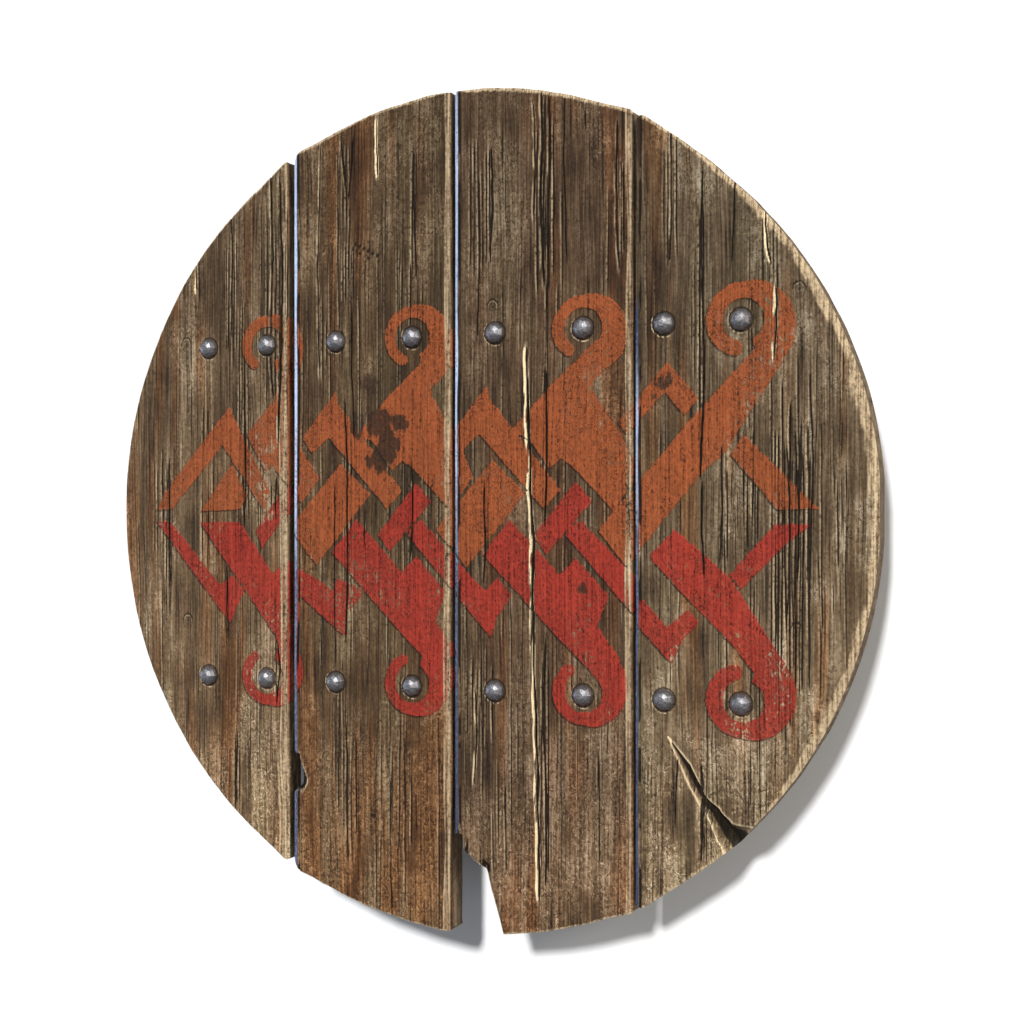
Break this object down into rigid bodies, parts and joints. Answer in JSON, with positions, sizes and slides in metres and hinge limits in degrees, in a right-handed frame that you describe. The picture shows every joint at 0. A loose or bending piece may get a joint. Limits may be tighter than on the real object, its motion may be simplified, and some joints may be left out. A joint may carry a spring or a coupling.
{
  "type": "wooden round shield",
  "caption": "Round plank shield with a painted interlace band, riveted battens and a board grip behind.",
  "frame": {"origin": "under the middle of the shield, at the lowest surface of the grip that it lies on", "axes": "+Z out of the painted face, +Y up along the planks as the face is seen, +X to the right as the face is seen"},
  "size_m": [0.7499, 0.7522, 0.0876],
  "materials": {
    "plank_wood": "weathered, grooved along the grain, painted in orange and red across the middle",
    "batten_wood": "rough sawn, aged",
    "grip_wood": "worn smooth by the hand",
    "rivet_steel": "hammered facets, dulled",
    "rove_iron": "dark, lightly rusted"
  },
  "bodies": {
    "root": {"plank_left": "plank_wood", "plank_mid_left": "plank_wood", "plank_mid_right": "plank_wood", "plank_right": "plank_wood", "batten_upper": "batten_wood", "batten_lower": "batten_wood", "grip": "grip_wood", "rivet_upper_1": "rivet_steel", "rivet_upper_2": "rivet_steel", "rivet_upper_3": "rivet_steel", "rivet_upper_4": "rivet_steel", "rivet_upper_5": "rivet_steel", "rivet_upper_6": "rivet_steel", "rivet_upper_7": "rivet_steel", "rivet_upper_8": "rivet_steel", "rivet_lower_1": "rivet_steel", "rivet_lower_2": "rivet_steel", "rivet_lower_3": "rivet_steel", "rivet_lower_4": "rivet_steel", "rivet_lower_5": "rivet_steel", "rivet_lower_6": "rivet_steel", "rivet_lower_7": "rivet_steel", "rivet_lower_8": "rivet_steel", "rove_upper_1": "rove_iron", "rove_upper_2": "rove_iron", "rove_upper_3": "rove_iron", "rove_upper_4": "rove_iron", "rove_upper_5": "rove_iron", "rove_upper_6": "rove_iron", "rove_upper_7": "rove_iron", "rove_upper_8": "rove_iron", "rove_lower_1": "rove_iron", "rove_lower_2": "rove_iron", "rove_lower_3": "rove_iron", "rove_lower_4": "rove_iron", "rove_lower_5": "rove_iron", "rove_lower_6": "rove_iron", "rove_lower_7": "rove_iron", "rove_lower_8": "rove_iron"}
  },
  "joints": []
}
